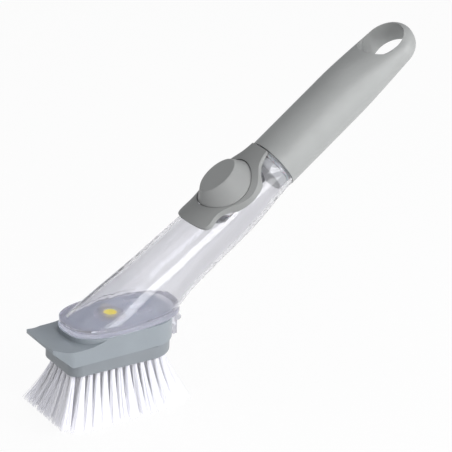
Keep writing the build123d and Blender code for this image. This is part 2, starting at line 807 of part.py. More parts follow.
def field_half_width(x):
    """Half width of the tuft field at x."""
    length_share = (x - block_front_x) / (block_rear_x - block_front_x)
    half = block_front_half_width + length_share * (block_rear_half_width - block_front_half_width)
    half -= corner_loss(x - root_front_x, block_front_corner - tuft_inset)
    half -= corner_loss(root_rear_x - x, block_rear_corner - tuft_inset)
    return half - tuft_inset


def strand(x, y, index):
    """One three-sided strand from its root at (x, y)."""
    tip_x = still_x + (x - still_x) * tip_stretch
    end_share = abs(tip_x - tip_middle_x) / tip_half_length
    tip_half = tip_half_width - corner_loss(tip_half_length * (1 - end_share), tip_corner)
    tip_y = y * tip_half / (field_half_width(x) + tuft_spread)
    ragged = (index * golden_turn_share) % 1 * (strand_ragged + strand_trim) - strand_trim
    tip_z = ragged + strand_end_rise * end_share ** 6
    top_z = block_bottom_z + slice_thickness / 2
    spin = 2 * pi * golden_turn_share * index
    corners = []
    for corner in range(3):
        turn = spin + corner * 2 * pi / 3
        corners.append((x + strand_radius * cos(turn), y + strand_radius * sin(turn), top_z))
    shift = Vector(tip_x - x, tip_y - y, tip_z - top_z)
    return Solid.extrude(Face(Wire.make_polygon(corners)), shift)


def tuft(x, y, index):
    """Strands of one tuft: one in the middle and the rest around it."""
    strands = [strand(x, y, index * tuft_strands)]
    for place in range(1, tuft_strands):
        turn = 2 * pi * (place / (tuft_strands - 1) + golden_turn_share * index)
        strands.append(strand(x + tuft_spread * cos(turn), y + tuft_spread * sin(turn),
                              index * tuft_strands + place))
    return strands


def field(first_column, last_column):
    """All strands of the columns from first to last."""
    strands = []
    for column in range(first_column, last_column):
        x = root_front_x + root_length * column / (tuft_columns - 1)
        rows = min(tuft_rows, int(2 * field_half_width(x) / tuft_least_pitch) + 1)
        for row in range(rows):
            row_share = 2 * row / (rows - 1) - 1
            y = row_share * field_half_width(x)
            clear = sqrt((x - valve_x) ** 2 + y ** 2)
            if clear > soap_bore + tuft_spread + 2 * strand_radius:
                strands += tuft(x, y, column * tuft_rows + row)
    return strands


column_pitch = root_length / (tuft_columns - 1)
bristle_groups = [("bristles_front", 0, 5), ("bristles_middle", 5, 9), ("bristles_rear", 9, 14)]
strand_total = 0
bristles = []
for name, first, last in bristle_groups:
    start_x = root_front_x + (first - 0.5) * column_pitch
    end_x = root_front_x + (last - 0.5) * column_pitch
    if first == 0:
        start_x = block_front_x
    if last == tuft_columns:
        end_x = block_rear_x
    strands = field(first, last)
    strand_total += len(strands)
    with BuildPart() as group:
        with BuildSketch(Plane.XY.offset(block_bottom_z)):
            add(block_face(slice_inset + fit_gap))
            with Locations(((start_x + end_x) / 2, 0)):
                Rectangle(end_x - start_x - slice_gap, 4 * block_rear_half_width,
                          mode=Mode.INTERSECT)
        extrude(amount=slice_thickness)
        add(strands)
        with Locations(Plane.XY.offset(block_bottom_z)):
            with Locations((valve_x, 0)):
                Cylinder(soap_bore + fit_gap, 2 * slice_thickness + overrun, mode=Mode.SUBTRACT)
        with BuildSketch(Plane.XY):
            with Locations((foot_x, 0)):
                Rectangle(4 * foot_half_length, 4 * foot_half_width)
        extrude(amount=-strand_trim - overrun, mode=Mode.SUBTRACT)
    bristles.append((name, group))
print("strands", strand_total)

os.makedirs("parts", exist_ok=True)
pieces = [
    ("reservoir", reservoir), ("reservoir_floor", reservoir_floor), ("slit_valve", slit_valve),
    ("valve_retainer", valve_retainer), ("pump_bezel", pump_bezel), ("pump_button", pump_button),
    ("pump_bellows", pump_bellows), ("bellows_clamp", bellows_clamp), ("grip_shell", grip_shell),
    ("grip_spigot", grip_spigot), ("spigot_seal", spigot_seal), ("rear_latch", rear_latch),
    ("head_shell", head_shell), ("brush_block", brush_block), ("soap_duct", soap_duct),
    ("duct_seal", duct_seal),
] + bristles
for name, piece in pieces:
    piece.part.label = name
    export_step(piece.part, f"parts/{name}.step")
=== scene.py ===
# %% [markdown]
# # A dish wand with a clear soap handle
#
# The real object is a washing-up brush on a slanted, see-through soap reservoir, with a
# thumb pump on its back and a grey grip that screws into its mouth. The moulded pieces come
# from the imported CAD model, which stays where it is. This script gives each of them its
# finish, and it grows the filaments of the brush, which the CAD model holds as coarse
# strands.

import json
import math

import bmesh
import bpy
import numpy as np
from mathutils import Matrix, Vector


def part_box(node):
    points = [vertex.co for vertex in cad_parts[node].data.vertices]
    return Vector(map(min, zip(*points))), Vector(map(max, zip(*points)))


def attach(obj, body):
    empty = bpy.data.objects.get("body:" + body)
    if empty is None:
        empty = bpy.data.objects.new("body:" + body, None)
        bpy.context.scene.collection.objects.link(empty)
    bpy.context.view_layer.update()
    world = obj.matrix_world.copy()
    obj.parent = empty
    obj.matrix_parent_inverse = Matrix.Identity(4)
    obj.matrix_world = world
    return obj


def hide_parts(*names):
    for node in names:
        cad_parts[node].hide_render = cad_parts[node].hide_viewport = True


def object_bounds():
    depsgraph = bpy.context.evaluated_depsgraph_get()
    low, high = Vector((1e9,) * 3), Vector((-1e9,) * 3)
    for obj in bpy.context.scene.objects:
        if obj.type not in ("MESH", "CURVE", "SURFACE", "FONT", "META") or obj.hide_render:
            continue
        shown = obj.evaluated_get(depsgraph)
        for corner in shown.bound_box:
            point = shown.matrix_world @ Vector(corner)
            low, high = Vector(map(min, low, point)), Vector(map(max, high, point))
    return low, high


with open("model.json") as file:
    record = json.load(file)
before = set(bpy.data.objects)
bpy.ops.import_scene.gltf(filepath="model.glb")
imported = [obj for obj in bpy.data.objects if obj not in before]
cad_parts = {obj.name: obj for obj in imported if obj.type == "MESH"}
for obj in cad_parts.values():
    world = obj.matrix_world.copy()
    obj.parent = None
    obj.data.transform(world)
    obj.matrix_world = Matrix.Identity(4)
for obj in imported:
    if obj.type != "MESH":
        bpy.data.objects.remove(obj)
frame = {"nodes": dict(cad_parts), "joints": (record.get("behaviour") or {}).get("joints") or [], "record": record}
cad_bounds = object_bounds()
MM = 0.001
print("pieces in the frame:", len(frame["nodes"]))

# %% [markdown]
# ## The directions of the object
#
# The handle is slanted, so its two own directions are worth naming once: `along` runs up
# the handle and `out` is the way that the button faces. Both are read from the joints of
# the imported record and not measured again, so they follow the model. The seam is where the
# grip meets the reservoir. Its place is written down here, because the camera was fitted
# to the photograph from that point.

# %% Handle directions and the seam
joints = {joint["name"]: joint for joint in frame["joints"]}
along = Vector(joints["grip_turn"]["axis"]).normalized()
if along.z < 0:
    along.negate()
out = -Vector(joints["button_press"]["axis"]).normalized()
SEAM = Vector((28.35, 0, 121.977)) * MM
print("the handle rises at", round(math.degrees(math.asin(along.z)), 1), "degrees")

# %% [markdown]
# ## The camera
#
# The photograph is a product shot taken with a long lens from about a metre away, a little
# above the brush and from its front right. A camera is a place and three directions, so
# its matrix is built from them: `right` and `up` span the picture and `view` points into it.

# %% Camera at the photograph's angle
PHOTO_PIXELS = 452
FOCAL_PIXELS = 2000
SENSOR_WIDTH = 36
CAMERA_TURN = math.radians(35.68)
CAMERA_RISE = math.radians(24.40)
CAMERA_ROLL = math.radians(2.74)
CAMERA_DISTANCE = 1117.3 * MM
SEAM_RIGHT = 26.22 * MM
SEAM_UP = 35.08 * MM

level_right = Vector((math.cos(CAMERA_TURN), -math.sin(CAMERA_TURN), 0))
view = Vector((math.sin(CAMERA_TURN) * math.cos(CAMERA_RISE),
               math.cos(CAMERA_TURN) * math.cos(CAMERA_RISE), -math.sin(CAMERA_RISE)))
level_up = level_right.cross(view)
right = level_right * math.cos(CAMERA_ROLL) + level_up * math.sin(CAMERA_ROLL)
up = level_up * math.cos(CAMERA_ROLL) - level_right * math.sin(CAMERA_ROLL)
camera_place = SEAM - right * SEAM_RIGHT - up * SEAM_UP - view * CAMERA_DISTANCE

lens = bpy.data.cameras.new("photo_camera")
lens.sensor_width = SENSOR_WIDTH
lens.lens = FOCAL_PIXELS * SENSOR_WIDTH / PHOTO_PIXELS
camera = bpy.data.objects.new("photo_camera", lens)
camera.matrix_world = Matrix((
    (right.x, up.x, -view.x, camera_place.x),
    (right.y, up.y, -view.y, camera_place.y),
    (right.z, up.z, -view.z, camera_place.z),
    (0, 0, 0, 1)))
bpy.context.scene.collection.objects.link(camera)
bpy.context.scene.camera = camera
print("lens", round(lens.lens, 1), "mm")

# %% [markdown]
# ## Helpers for node materials
#
# Every finish below is a small network round one Principled shader. The helpers keep the
# networks short. They start a material, add a node with its settings, wire two sockets, and
# make the few things that come back in every finish: noise, an uneven roughness, a bump, and
# one shader mixed with another.

# %% Material helpers


def new_material(name):
    """A node material, and the Principled shader that is wired to its output."""
    material = bpy.data.materials.new(name)
    material.use_nodes = True
    return material, material.node_tree.nodes["Principled BSDF"]


def node(material, kind, **settings):
    """A new node of that kind. Settings that name an input set its value."""
    made = material.node_tree.nodes.new(kind)
    for key, value in settings.items():
        socket = made.inputs.get(key.replace("_", " "))
        if socket is not None and not hasattr(made, key):
            socket.default_value = value
        else:
            setattr(made, key, value)
    return made


def link(material, source, target):
    material.node_tree.links.new(source, target)


def ramp(material, factor, stops):
    """A colour ramp with the given (place, colour) stops, driven by factor."""
    made = node(material, "ShaderNodeValToRGB")
    elements = made.color_ramp.elements
    for element, (place, colour) in zip(elements, stops):
        element.position = place
        element.color = (*colour, 1)
    link(material, factor, made.inputs["Fac"])
    return made.outputs["Color"]


def noise(material, scale, detail=3.0):
    """Noise over the object's own coordinates, at that many features a metre."""
    place = node(material, "ShaderNodeTexCoord")
    grain = node(material, "ShaderNodeTexNoise", Scale=scale, Detail=detail)
    link(material, place.outputs["Object"], grain.inputs["Vector"])
    return grain.outputs["Fac"]


def between(material, factor, low, high):
    """A factor from 0 to 1, mapped to the range from low to high."""
    made = node(material, "ShaderNodeMapRange", To_Min=low, To_Max=high)
    link(material, factor, made.inputs["Value"])
    return made.outputs["Result"]


def bump(material, height, strength, distance):
    """A normal that follows a height."""
    made = node(material, "ShaderNodeBump", Strength=strength, Distance=distance)
    link(material, height, made.inputs["Height"])
    return made.outputs["Normal"]


def flat_shader(material, kind, colour):
    """The output of a simple shader of one colour."""
    made = node(material, kind)
    made.inputs["Color"].default_value = (*colour, 1)
    return made.outputs[0]


def blend(material, share, first, second):
    """Two shaders mixed. The share of the second is a number or a socket."""
    made = node(material, "ShaderNodeMixShader")
    if isinstance(share, float):
        made.inputs["Fac"].default_value = share
    else:
        link(material, share, made.inputs["Fac"])
    link(material, first, made.inputs[1])
    link(material, second, made.inputs[2])
    return made.outputs["Shader"]


def to_surface(material, shader_output):
    link(material, shader_output,
         material.node_tree.nodes["Material Output"].inputs["Surface"])


def scaled(colour, factor):
    return tuple(channel * factor for channel in colour)


# %% [markdown]
# Moulded plastic is never quite even. Its tone has a faint mottle, its gloss varies a little
# from place to place, and the tool leaves a fine grain in its skin. The three scales below
# are features a metre.

# %% Moulded plastic
MOTTLE_SCALE = 60
GLOSS_SCALE = 220
GRAIN_SCALE = 2600
GRAIN_DETAIL = 2
GRAIN_STRENGTH = 0.25
TONE_SPREAD = 0.03
GLOSS_SPREAD = 0.05


def moulded(name, colour, roughness, grain_depth):
    """Moulded plastic, and its Principled shader."""
    material, shader = new_material(name)
    tone = ramp(material, noise(material, MOTTLE_SCALE),
                [(0.3, scaled(colour, 1 - TONE_SPREAD)),
                 (0.7, scaled(colour, 1 + TONE_SPREAD))])
    link(material, tone, shader.inputs["Base Color"])
    link(material, between(material, noise(material, GLOSS_SCALE),
                           roughness - GLOSS_SPREAD, roughness + GLOSS_SPREAD),
         shader.inputs["Roughness"])
    link(material, bump(material, noise(material, GRAIN_SCALE, GRAIN_DETAIL),
                        GRAIN_STRENGTH, grain_depth),
         shader.inputs["Normal"])
    return material, shader


# %% [markdown]
# ## Grey mouldings
#
# The wand has five greys. The grip is a satin middle grey, the bezel under the button is
# darker and duller, the button lies between them, and the head is a cooler blue grey with
# more gloss, its bristle block a shade darker. Written as linear colours, a grey that
# looks half bright is about 0.2, so the numbers look lower than the eye expects.

# %% Grey finishes
GREYS = {
    # name: colour, roughness, depth of the grain
    "grip_satin_grey": ((0.340, 0.348, 0.345), 0.42, 0.03 * MM),
    "bezel_matt_grey": ((0.270, 0.275, 0.273), 0.50, 0.03 * MM),
    "button_matt_grey": ((0.300, 0.305, 0.303), 0.48, 0.03 * MM),
    "head_blue_grey": ((0.280, 0.312, 0.342), 0.34, 0.02 * MM),
    "block_blue_grey": ((0.235, 0.257, 0.280), 0.38, 0.02 * MM),
}
grip_finish, bezel_finish, button_finish, shell_finish, block_finish = (
    moulded(name, *settings)[0] for name, settings in GREYS.items())

# %% [markdown]
# ## Clear plastic
#
# The reservoir, its floor, the ring round the valve and the latch are clear and glossy.
# Light must bend as it enters and leaves the walls, which real thickness in the mesh gives.
# So the finish is full transmission with the plastic's refractive index, a faint cool tint,
# and a slow waviness in the surface like the flow marks of a real clear moulding.
#
# Two things are added. A veil, partly see-through and partly milky, stands for the light
# that is caught inside the walls. It is light on the tube and strong on the floor, which
# looks cloudy in the photograph. And shadow rays pass straight through, because refraction
# alone would cast a shadow as dark as that of a solid piece.

# %% Clear finish
PLASTIC_INDEX = 1.49
CLEAR_ROUGHNESS = 0.02
CLEAR_GLOSS_SCALE = 90
WAVE_SCALE = 75
WAVE_DETAIL = 1
WAVE_STRENGTH = 0.3
VEIL_WHITE = (0.84, 0.84, 0.90)
WALL_TINT = (0.885, 0.885, 0.91)
FLOOR_TINT = (0.985, 0.985, 1.0)


def clear_plastic(name, tint, veil_share, milkiness, wave_depth):
    """Refracting plastic with a pale veil mixed in, for light caught inside the walls."""
    material, shader = new_material(name)
    shader.inputs["Base Color"].default_value = (*tint, 1)
    shader.inputs["Transmission Weight"].default_value = 1
    shader.inputs["IOR"].default_value = PLASTIC_INDEX
    link(material, between(material, noise(material, CLEAR_GLOSS_SCALE), 0.0, CLEAR_ROUGHNESS),
         shader.inputs["Roughness"])
    link(material, bump(material, noise(material, WAVE_SCALE, WAVE_DETAIL),
                        WAVE_STRENGTH, wave_depth),
         shader.inputs["Normal"])
    veil = blend(material, milkiness,
                 flat_shader(material, "ShaderNodeBsdfTransparent", tint),
                 flat_shader(material, "ShaderNodeBsdfTranslucent", VEIL_WHITE))
    seen = blend(material, veil_share, shader.outputs["BSDF"], veil)
    rays = node(material, "ShaderNodeLightPath")
    to_surface(material, blend(material, rays.outputs["Is Shadow Ray"], seen,
                               flat_shader(material, "ShaderNodeBsdfTransparent", tint)))
    return material


clear_finish = clear_plastic("clear_plastic", WALL_TINT, 0.10, 0.30, 0.08 * MM)
floor_finish = clear_plastic("clear_floor", FLOOR_TINT, 0.42, 0.75, 0.12 * MM)

# %% [markdown]
# ## Rubber and silicone
#
# The slit valve is yellow silicone, and it is the one spot of colour. Silicone lets some
# light in below its skin, which subsurface scattering gives. The seals and the pump's
# bellows are a soft grey rubber of the same kind.

# %% Soft finishes
SOFT_ROUGHNESS = 0.45
SOFT_GRAIN = 0.02 * MM
LIGHT_UNDER_SKIN = 0.3
VALVE_YELLOW = (0.80, 0.66, 0.03)
SEAL_GREY = (0.34, 0.35, 0.36)


def soft_rubber(name, colour, depth):
    """Rubber that lets light in to a depth."""
    material, shader = moulded(name, colour, SOFT_ROUGHNESS, SOFT_GRAIN)
    shader.inputs["Subsurface Weight"].default_value = LIGHT_UNDER_SKIN
    shader.inputs["Subsurface Scale"].default_value = depth
    return material


valve_finish = soft_rubber("valve_yellow_silicone", VALVE_YELLOW, 1.0 * MM)
rubber_finish = soft_rubber("seal_grey_rubber", SEAL_GREY, 0.6 * MM)

# %% [markdown]
# ## Dressing the CAD pieces
#
# Each node of the frame takes one finish. A table of names keeps it plain which finish
# each piece has, and a piece that is missing from the table would stop the script.

# %% Finishes for the nodes
finishes = {
    grip_finish: ["grip_shell", "grip_spigot"],
    bezel_finish: ["pump_bezel"],
    button_finish: ["pump_button"],
    shell_finish: ["head_shell", "soap_duct"],
    block_finish: ["brush_block"],
    clear_finish: ["reservoir"],
    floor_finish: ["reservoir_floor", "valve_retainer", "rear_latch"],
    valve_finish: ["slit_valve"],
    rubber_finish: ["spigot_seal", "duct_seal", "pump_bellows", "bellows_clamp"],
}
dressed = set()
for finish, names in finishes.items():
    for name in names:
        mesh = frame["nodes"][name].data
        mesh.materials.clear()
        mesh.materials.append(finish)
        dressed.add(name)
bristle_nodes = [name for name in frame["nodes"] if name.startswith("bristles_")]
bare = set(frame["nodes"]) - dressed - set(bristle_nodes)
assert not bare, f"no finish for {bare}"
print("dressed", len(dressed), "nodes, bristle nodes", len(bristle_nodes))

# %% [markdown]
# ## Skins with rounded edges
#
# A moulded edge is never knife sharp: a fine round along it catches the light as a thin
# line, and that line is what makes plastic look like plastic. The frame's meshes may not be
# touched, so each moulding gets a skin: a copy whose seams are welded, whose curved faces
# share smooth normals, and whose true edges are rounded by a bevel. Where the round is 0,
# the edges stay as sharp as the CAD model has them. The skin then stands for its node.

# %% Skins
SHARP_ANGLE = math.radians(32)
WELD_REACH = 0.002 * MM
BEVEL_SEGMENTS = 2
body_names = {name: body for body, names in frame["record"]["behaviour"]["bodies"].items()
              for name in names}


def skin(name, edge_round):
    """A welded copy of a node with its sharp edges rounded, riding on the node's body."""
    source = frame["nodes"][name]
    piece = bpy.data.objects.new(name + "_skin", source.data.copy())
    bpy.context.scene.collection.objects.link(piece)
    bm = bmesh.new()
    bm.from_mesh(piece.data)
    bmesh.ops.remove_doubles(bm, verts=bm.verts, dist=WELD_REACH)
    bmesh.ops.dissolve_degenerate(bm, edges=bm.edges, dist=WELD_REACH)
    for face in bm.faces:
        face.smooth = True
    for edge in bm.edges:
        edge.smooth = len(edge.link_faces) == 2 and edge.calc_face_angle(0) < SHARP_ANGLE
    bm.to_mesh(piece.data)
    bm.free()
    if edge_round > 0:
        bevel = piece.modifiers.new("moulded_edges", "BEVEL")
        bevel.width = edge_round
        bevel.segments = BEVEL_SEGMENTS
        bevel.limit_method = "ANGLE"
        bevel.angle_limit = SHARP_ANGLE
        bevel.harden_normals = True
        bevel.use_clamp_overlap = True
    normals = piece.modifiers.new("even_normals", "WEIGHTED_NORMAL")
    normals.mode = "FACE_AREA"
    normals.keep_sharp = True
    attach(piece, body_names[name])
    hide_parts(name)
    return piece


edge_rounds = {
    "grip_shell": 0.0, "pump_bezel": 0.3 * MM, "pump_button": 0.25 * MM,
    "head_shell": 0.35 * MM, "brush_block": 0.25 * MM, "reservoir": 0.0,
    "reservoir_floor": 0.3 * MM, "valve_retainer": 0.15 * MM, "slit_valve": 0.0,
    "rear_latch": 0.25 * MM,
}
for name, edge_round in edge_rounds.items():
    piece = skin(name, edge_round)
    print(piece.name, len(piece.data.polygons), "faces")

# %% [markdown]
# The bellows is rubber and shortens as the button goes down, which a rigid frame can't show.
# It is drawn at its pressed height, so that it clears the button at both ends of the travel.
# The solid in the frame keeps its rest height. At rest the difference lies out of sight
# under the button.

# %% Bellows at its pressed height
PRESSED_HEIGHT_SHARE = 0.79

bellows = skin("pump_bellows", 0.0)
foot_level = min(vertex.co.dot(out) for vertex in bellows.data.vertices)
for vertex in bellows.data.vertices:
    height = vertex.co.dot(out) - foot_level
    vertex.co -= out * (height * (1 - PRESSED_HEIGHT_SHARE))

# %% [markdown]
# ## Nylon filaments
#
# A brush of this kind has about eighty tufts, each a bundle of white nylon filaments
# folded over a staple. Hair particles would be quick, but they don't become a mesh that can
# be exported, so the filaments are built as one mesh for each slice of the block: every
# filament is a thin four-sided tube. The bundle leaves its hole tight and opens towards the
# tips, and the whole field leans outwards from one still point, so the tips end wider than
# the block.

# %% Sizes of the tuft field
block_low, block_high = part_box("brush_block")
tips_low = Vector((min(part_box(name)[0].x for name in bristle_nodes),
                   min(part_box(name)[0].y for name in bristle_nodes), 0))
tips_high = Vector((max(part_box(name)[1].x for name in bristle_nodes),
                    max(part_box(name)[1].y for name in bristle_nodes), 0))
ROOT_DEPTH = 0.7 * MM
ROOT_Z = block_low.z + ROOT_DEPTH
TUFT_COLUMNS = 14
TUFT_ROWS = 6
TUFT_LEAST_PITCH = 3.6 * MM
TUFT_INSET = 4.4 * MM
TUFT_RADIUS = 1.4 * MM
FRONT_HALF_WIDTH = 17.0 * MM
FRONT_CORNER = 7.0 * MM
REAR_CORNER = 16.0 * MM
SOAP_PLACE = (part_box("slit_valve")[0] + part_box("slit_valve")[1]) / 2
SOAP_BORE = 2.6 * MM
FILAMENTS_A_TUFT = 80
FILAMENT_RADIUS = 0.2 * MM
FILAMENT_RINGS = 7
FILAMENT_SIDES = 4
TIP_SLACK = 0.5 * MM
TIP_CORNER = 9.0 * MM

root_front = block_low.x + TUFT_INSET
root_rear = block_high.x - TUFT_INSET
half_width_rear = block_high.y
stretch = ((tips_high.x - tips_low.x - 2 * TIP_SLACK)
           / (root_rear - root_front + 2 * TUFT_RADIUS))
still_x = (tips_low.x + TIP_SLACK - stretch * (root_front - TUFT_RADIUS)) / (1 - stretch)
tips_middle_x = (tips_low.x + tips_high.x) / 2
tips_half_length = (tips_high.x - tips_low.x) / 2 - TIP_SLACK
tips_half_width = tips_high.y - TIP_SLACK
print("the tips spread", round(stretch, 3), "times along the block")

# %% [markdown]
# The tufts follow the block's outline: rows close up towards the narrow front and leave
# out the rounded corners. One function gives the half width of the field at a place along
# the block, and one lists every tuft's root.

# %% Roots of the tufts


def corner_loss(distance, corner):
    """How much a rounded corner narrows the field at a distance from its end."""
    short = min(max(corner - distance, 0), corner)
    return corner - math.sqrt(corner ** 2 - short ** 2)


def field_half_width(x):
    """Half the width of the field of tufts at a place along the block."""
    share = (x - block_low.x) / (block_high.x - block_low.x)
    half = FRONT_HALF_WIDTH + share * (half_width_rear - FRONT_HALF_WIDTH)
    half -= corner_loss(x - root_front, FRONT_CORNER - TUFT_INSET)
    half -= corner_loss(root_rear - x, REAR_CORNER - TUFT_INSET)
    return half - TUFT_INSET


def tuft_roots():
    """Place of every tuft, with the soap's way left free."""
    roots = []
    for column in range(TUFT_COLUMNS):
        x = root_front + (root_rear - root_front) * column / (TUFT_COLUMNS - 1)
        half = field_half_width(x)
        rows = min(TUFT_ROWS, int(2 * half / TUFT_LEAST_PITCH) + 1)
        for row in range(rows):
            y = half * (2 * row / (rows - 1) - 1)
            if math.hypot(x - SOAP_PLACE.x, y) > SOAP_BORE + TUFT_RADIUS:
                roots.append((x, y))
    return roots


tufts = tuft_roots()
print("tufts:", len(tufts), "filaments:", len(tufts) * FILAMENTS_A_TUFT)

# %% [markdown]
# A filament is a path of seven points and a ring of four corners at each. It starts
# steeply down out of its hole and eases outwards, because nylon bends most near the root.
# The tips rise a little towards the two ends of the brush, and each is cut a little ragged.
# The random draws come from one seeded generator, so each run gives the same brush.

# %% One tuft as arrays of points
SEED = 7
draw = np.random.default_rng(SEED)
END_RISE = 3.0 * MM
END_RISE_POWER = 6
BEND_POWER = 1.25
RAGGED = 1.0 * MM
TUFT_OPENING = 1.65
JITTER = 0.45 * MM
ROOT_TIGHTNESS = 0.8


def filament_paths(root_x, root_y):
    """Centre points of a tuft's filaments, as filaments x rings x 3."""
    count = FILAMENTS_A_TUFT
    turn = draw.uniform(0, 2 * math.pi, count)
    reach = TUFT_RADIUS * np.sqrt(draw.uniform(0, 1, count))
    off_x = reach * np.cos(turn)
    off_y = reach * np.sin(turn)
    start_x = root_x + off_x * ROOT_TIGHTNESS
    start_y = root_y + off_y * ROOT_TIGHTNESS
    end_x = still_x + (root_x + off_x * TUFT_OPENING - still_x) * stretch
    tuft_tip_x = still_x + (root_x - still_x) * stretch
    end_share = min(abs(tuft_tip_x - tips_middle_x) / tips_half_length, 1)
    half = tips_half_width - corner_loss(tips_half_length * (1 - end_share), TIP_CORNER)
    widen = half / (field_half_width(root_x) + TUFT_RADIUS)
    end_y = (root_y + off_y * TUFT_OPENING) * widen
    end_x += draw.normal(0, JITTER, count)
    end_y += draw.normal(0, JITTER, count)
    end_x = np.clip(end_x, tips_low.x + TIP_SLACK, tips_high.x - TIP_SLACK)
    end_y = np.clip(end_y, -tips_half_width, tips_half_width)
    end_z = END_RISE * end_share ** END_RISE_POWER + draw.uniform(0, RAGGED, count)
    share = np.linspace(0, 1, FILAMENT_RINGS)[None, :]
    lean = share ** BEND_POWER
    path = np.empty((count, FILAMENT_RINGS, 3))
    path[:, :, 0] = start_x[:, None] + (end_x - start_x)[:, None] * lean
    path[:, :, 1] = start_y[:, None] + (end_y - start_y)[:, None] * lean
    path[:, :, 2] = ROOT_Z + (end_z - ROOT_Z)[:, None] * share
    return path


# %% [markdown]
# Numpy arrays make the points much faster than a loop over vertices. Each filament keeps a
# tone of its own in a point attribute, so that the material can shade the filaments a
# little apart.

# %% Filament mesh
TIP_TAPER = 0.85


def filament_mesh(name, roots):
    """One mesh object of all the filaments that start at these roots."""
    paths = np.concatenate([filament_paths(x, y) for x, y in roots])
    count = len(paths)
    turns = np.arange(FILAMENT_SIDES) * 2 * math.pi / FILAMENT_SIDES
    taper = np.linspace(1.0, TIP_TAPER, FILAMENT_RINGS)[None, :, None]
    ring_x = FILAMENT_RADIUS * np.cos(turns)[None, None, :] * taper
    ring_y = FILAMENT_RADIUS * np.sin(turns)[None, None, :] * taper
    points = np.empty((count, FILAMENT_RINGS, FILAMENT_SIDES, 3))
    points[..., 0] = paths[:, :, None, 0] + ring_x
    points[..., 1] = paths[:, :, None, 1] + ring_y
    points[..., 2] = paths[:, :, None, 2]
    points_each = FILAMENT_RINGS * FILAMENT_SIDES
    faces = []
    for ring in range(FILAMENT_RINGS - 1):
        for side in range(FILAMENT_SIDES):
            a = ring * FILAMENT_SIDES + side
            b = ring * FILAMENT_SIDES + (side + 1) % FILAMENT_SIDES
            faces.append((a, a + FILAMENT_SIDES, b + FILAMENT_SIDES, b))
    last = (FILAMENT_RINGS - 1) * FILAMENT_SIDES
    faces.append(tuple(last + side for side in reversed(range(FILAMENT_SIDES))))
    faces.append(tuple(range(FILAMENT_SIDES)))
    starts = np.arange(count) * points_each
    every = (np.array(faces)[None] + starts[:, None, None]).reshape(-1, FILAMENT_SIDES)
    mesh = bpy.data.meshes.new(name)
    mesh.from_pydata(points.reshape(-1, 3).tolist(), [], every.tolist())
    tone = np.repeat(draw.uniform(0, 1, count), points_each)
    attribute = mesh.attributes.new("filament_tone", "FLOAT", "POINT")
    attribute.data.foreach_set("value", tone.astype(np.float32))
    mesh.update()
    piece = bpy.data.objects.new(name, mesh)
    bpy.context.scene.collection.objects.link(piece)
    return piece


# %% [markdown]
# White nylon is bright and slightly cool, lets light through and has a soft shine along the
# filament. The tone of a filament moves between a white and a slightly darker, cooler one.
# A filament is thinner than it is drawn here, so part of the light goes straight past it,
# and more of it where only its shadow is asked for.

# %% Nylon finish
NYLON_WHITE = (0.985, 0.985, 1.0)
NYLON_SHADE = (0.93, 0.93, 0.97)
WHITE_FROM = 0.6
NYLON_ROUGHNESS = 0.38
NYLON_GLOW = 0.5
SEEN_THROUGH = 0.3
SHADOW_THROUGH = 0.85

nylon_finish, nylon_shader = new_material("nylon_white")
tone_node = node(nylon_finish, "ShaderNodeAttribute", attribute_name="filament_tone")
nylon_tone = ramp(nylon_finish, tone_node.outputs["Fac"],
                  [(0.0, NYLON_SHADE), (WHITE_FROM, NYLON_WHITE)])
link(nylon_finish, nylon_tone, nylon_shader.inputs["Base Color"])
nylon_shader.inputs["Roughness"].default_value = NYLON_ROUGHNESS
glow = node(nylon_finish, "ShaderNodeBsdfTranslucent")
link(nylon_finish, nylon_tone, glow.inputs["Color"])
nylon_body = blend(nylon_finish, NYLON_GLOW, nylon_shader.outputs["BSDF"],
                   glow.outputs["BSDF"])
rays = node(nylon_finish, "ShaderNodeLightPath")
let_through = between(nylon_finish, rays.outputs["Is Shadow Ray"],
                      SEEN_THROUGH, SHADOW_THROUGH)
gap = node(nylon_finish, "ShaderNodeBsdfTransparent")
to_surface(nylon_finish, blend(nylon_finish, let_through, nylon_body, gap.outputs["BSDF"]))

# %% [markdown]
# The brush is packed in three slices, each with the backing that its tufts stand on. The
# tufts are shared out to the slices by the length of that backing.

# %% Filaments of the three slices
for name in sorted(bristle_nodes):
    backing = [v.co.x for v in frame["nodes"][name].data.vertices if v.co.z > block_low.z]
    first_x = min(backing) - TUFT_RADIUS / 2
    last_x = max(backing) + TUFT_RADIUS / 2
    roots = [(x, y) for x, y in tufts if first_x <= x <= last_x]
    piece = filament_mesh(name.replace("bristles", "filaments"), roots)
    piece.data.materials.append(nylon_finish)
    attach(piece, "head")
    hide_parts(name)
    print(piece.name, len(roots), "tufts")

# %% [markdown]
# ## The plate that holds the tufts
#
# Under the block lies the plate that the tufts come out of. It is the same plastic as the
# block, flat, with a small raised collar round each hole. It is only seen from below, but
# that is where a brush is looked at when it is picked up. A collar is four rings: up its
# outside, over its rim, and down into the hole.

# %% Tuft plate
PLATE_THICKNESS = 1.4 * MM
PLATE_INSET = 2.35 * MM
COLLAR_RADIUS = 1.6 * MM
COLLAR_HEIGHT = 0.35 * MM
COLLAR_STEPS = 12
HOLE_RIM_SHARE = 0.9
HOLE_FOOT_SHARE = 0.8
CORNER_STEPS = 10


def plate_outline(inset):
    """Outline of the block drawn in by inset, as points."""
    front_r = FRONT_CORNER - inset
    rear_r = REAR_CORNER - inset
    front_x = block_low.x + inset + front_r
    rear_x = block_high.x - inset - rear_r
    front_y = FRONT_HALF_WIDTH - inset - front_r
    rear_y = half_width_rear - inset - rear_r
    half = []
    for x, y, radius, first_turn in ((rear_x, rear_y, rear_r, 0),
                                     (front_x, front_y, front_r, math.pi / 2)):
        for step in range(CORNER_STEPS + 1):
            turn = first_turn + math.pi / 2 * step / CORNER_STEPS
            half.append((x + radius * math.cos(turn), y + radius * math.sin(turn)))
    return half + [(x, -y) for x, y in reversed(half)]


